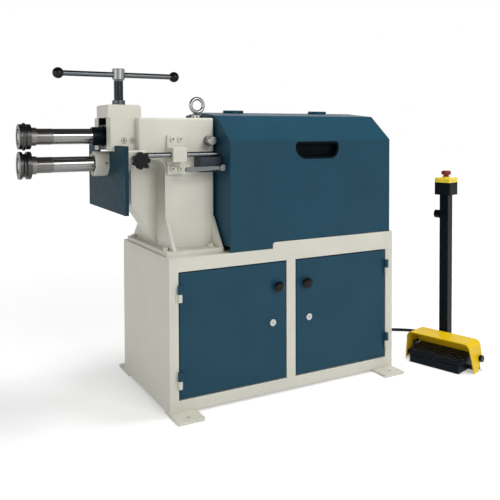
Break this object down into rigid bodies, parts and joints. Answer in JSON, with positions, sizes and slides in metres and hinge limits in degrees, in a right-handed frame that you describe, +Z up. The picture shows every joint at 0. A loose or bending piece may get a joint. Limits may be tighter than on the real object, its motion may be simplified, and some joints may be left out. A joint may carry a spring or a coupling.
{
  "type": "electric bead roller",
  "caption": "Motor-driven bead roller with two geared forming shafts on a cast frame, a folded hood, a steel cabinet and a separate foot pedal stand.",
  "frame": {"origin": "on the floor, in the middle of the four floor bolt holes of the cabinet feet", "axes": "+X along the shafts away from the forming dies, +Y to the back of the machine, +Z up"},
  "size_m": [1.9414, 0.8987, 1.2315],
  "materials": {
    "cream_paint": "satin enamel",
    "blue_paint": "satin enamel",
    "bare_steel": "turned and ground",
    "tool_steel": "hardened, oiled",
    "black_steel": "blackened",
    "zinc_steel": "zinc plated",
    "bronze": "machined",
    "grey_paint": "satin",
    "grey_aluminium": "painted",
    "grey_plastic": "moulded",
    "black_plastic": "moulded",
    "chrome": "plated",
    "yellow_paint": "satin enamel",
    "yellow_plastic": "moulded",
    "box_plastic": "moulded",
    "red_plastic": "moulded",
    "cable_rubber": "smooth"
  },
  "bodies": {
    "base": {"cabinet_shell": "cream_paint", "cabinet_feet": "cream_paint", "frame_hinges": "cream_paint", "frame_casting": "cream_paint", "head_cap": "cream_paint", "lower_bearing_housing": "cream_paint", "gauge_bracket": "cream_paint", "rear_guard": "blue_paint", "stop_pin": "bare_steel", "guide_gibs": "bare_steel", "hood_hinges": "bare_steel", "rod_rest_block": "black_steel", "socket_screws": "black_steel", "pedal_stand": "black_steel", "foundation_bolts": "zinc_steel", "eye_bolt": "zinc_steel", "lower_bushes": "bronze", "screw_nut": "bronze", "drive_stand": "grey_paint", "motor": "grey_paint", "motor_covers": "grey_paint", "gearbox": "grey_aluminium", "control_box": "grey_plastic", "pedal_knobs": "black_plastic", "pedal_guard": "yellow_paint", "estop_lid": "yellow_plastic", "estop_box": "box_plastic", "cable_glands": "box_plastic", "pedal_cable": "cable_rubber"},
    "hood": {"hood": "blue_paint", "hood_handle": "black_plastic"},
    "left_door": {"left_door": "blue_paint", "left_door_knob": "black_plastic"},
    "right_door": {"right_door": "blue_paint", "right_door_knob": "black_plastic"},
    "left_lock": {"left_door_lock": "chrome"},
    "right_lock": {"right_door_lock": "chrome"},
    "block": {"bearing_block": "black_steel"},
    "screw": {"adjusting_screw": "bare_steel", "tee_bar": "black_steel", "tee_balls": "black_plastic", "stop_nut": "black_steel"},
    "tilt": {"upper_front_bush": "black_steel", "swivel_housing": "tool_steel"},
    "upper_roll": {"upper_shaft": "bare_steel", "upper_gear": "tool_steel", "upper_die": "tool_steel", "upper_shaft_nuts": "tool_steel"},
    "lower_roll": {"lower_shaft": "bare_steel", "lower_gear": "tool_steel", "lower_die": "tool_steel", "lower_shaft_nuts": "tool_steel", "shaft_coupling": "tool_steel"},
    "gauge": {"gauge_plate": "blue_paint", "gauge_rod": "bare_steel", "gauge_hub": "cream_paint"},
    "gauge_knob": {"star_knob": "black_plastic"},
    "lever": {"clamp_lever": "bare_steel"},
    "pedal": {"foot_pedal": "black_steel"},
    "stop": {"estop_button": "red_plastic"}
  },
  "joints": [
    {"name": "hood_hinge", "type": "hinge", "parent": "base", "child": "hood", "pos_m": [0.1125, 0.041, 1.08], "axis": [-1, 0, 0], "range_deg": [0, 100]},
    {"name": "left_door_hinge", "type": "hinge", "parent": "base", "child": "left_door", "pos_m": [-0.463, -0.259, 0.28], "axis": [0, 0, -1], "range_deg": [0, 110]},
    {"name": "right_door_hinge", "type": "hinge", "parent": "base", "child": "right_door", "pos_m": [0.463, -0.259, 0.28], "axis": [0, 0, 1], "range_deg": [0, 110]},
    {"name": "left_lock_turn", "type": "hinge", "parent": "left_door", "child": "left_lock", "pos_m": [-0.082, -0.25, 0.276], "axis": [0, 1, 0], "range_deg": [0, 90]},
    {"name": "right_lock_turn", "type": "hinge", "parent": "right_door", "child": "right_lock", "pos_m": [0.082, -0.25, 0.276], "axis": [0, -1, 0], "range_deg": [0, 90]},
    {"name": "block_slide", "type": "slide", "parent": "base", "child": "block", "axis": [0, 0, 1], "range_m": [0, 0.022]},
    {"name": "screw_turn", "type": "hinge", "parent": "block", "child": "screw", "pos_m": [-0.595, 0, 1.1], "axis": [0, 0, 1], "range_deg": [0, 2262]},
    {"name": "upper_tilt", "type": "hinge", "parent": "base", "child": "tilt", "pos_m": [-0.115, 0, 0.983], "axis": [0, 1, 0], "range_deg": [0, 2.63]},
    {"name": "lower_spin", "type": "hinge", "parent": "base", "child": "lower_roll", "pos_m": [-0.5, 0, 0.883], "axis": [1, 0, 0], "continuous": true},
    {"name": "upper_spin", "type": "hinge", "parent": "tilt", "child": "upper_roll", "pos_m": [-0.5, 0, 0.983], "axis": [1, 0, 0], "continuous": true},
    {"name": "gauge_slide", "type": "slide", "parent": "base", "child": "gauge", "axis": [1, 0, 0], "range_m": [-0.13, 0.01]},
    {"name": "gauge_knob_turn", "type": "hinge", "parent": "gauge", "child": "gauge_knob", "pos_m": [-0.588, -0.2, 0.9], "axis": [0, -1, 0], "range_deg": [-360, 360]},
    {"name": "lever_turn", "type": "hinge", "parent": "base", "child": "lever", "pos_m": [-0.276, -0.2, 0.867], "axis": [0, -1, 0], "range_deg": [0, 60]},
    {"name": "pedal_press", "type": "hinge", "parent": "base", "child": "pedal", "pos_m": [0.66098, -0.33351, 0.038], "axis": [-0.2957, 0.9553, 0], "range_deg": [0, 8], "stiffness_Nm_per_rad": 8, "springref_deg": -20.05},
    {"name": "estop_press", "type": "slide", "parent": "base", "child": "stop", "axis": [0, 0, -1], "range_m": [0, 0.006], "stiffness_N_per_m": 800, "springref_m": -0.004}
  ],
  "couplings": [
    {"joint": "block_slide", "follows": "screw_turn", "m_per_rad": 0.00055704},
    {"joint": "upper_tilt", "follows": "screw_turn", "ratio": 0.0011605},
    {"joint": "upper_spin", "follows": "lower_spin", "ratio": -1}
  ]
}
